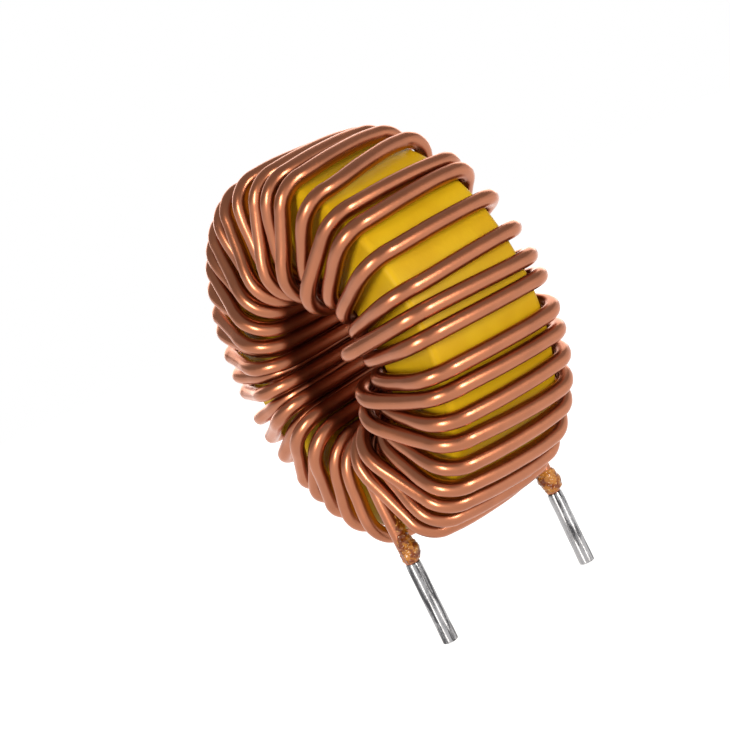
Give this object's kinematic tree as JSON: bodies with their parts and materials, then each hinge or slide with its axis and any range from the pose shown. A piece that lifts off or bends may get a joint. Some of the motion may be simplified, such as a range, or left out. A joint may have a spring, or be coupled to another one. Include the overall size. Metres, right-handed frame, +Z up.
{
  "type": "toroidal inductor",
  "caption": "Ring inductor that stands on edge: a yellow coated powder core wound with enamelled copper wire, with tinned leads that point down for a circuit board.",
  "frame": {"origin": "under the middle of the ring, level with the end of the rear lead, which is the longer one", "axes": "+Z up, away from the board; the ring's axis along Y, with the face that shows the front lead towards -Y"},
  "size_m": [0.0195, 0.0098, 0.0243],
  "materials": {
    "core_coat": "semi-gloss yellow coating",
    "enamelled_copper": "satin enamelled copper",
    "tin": "dull bright tin",
    "flux_crust": "glassy amber crust"
  },
  "bodies": {
    "root": {"core": "core_coat", "winding": "enamelled_copper", "front_lead_solder": "tin", "rear_lead_solder": "tin", "front_lead_flux": "flux_crust", "rear_lead_flux": "flux_crust"}
  },
  "joints": []
}
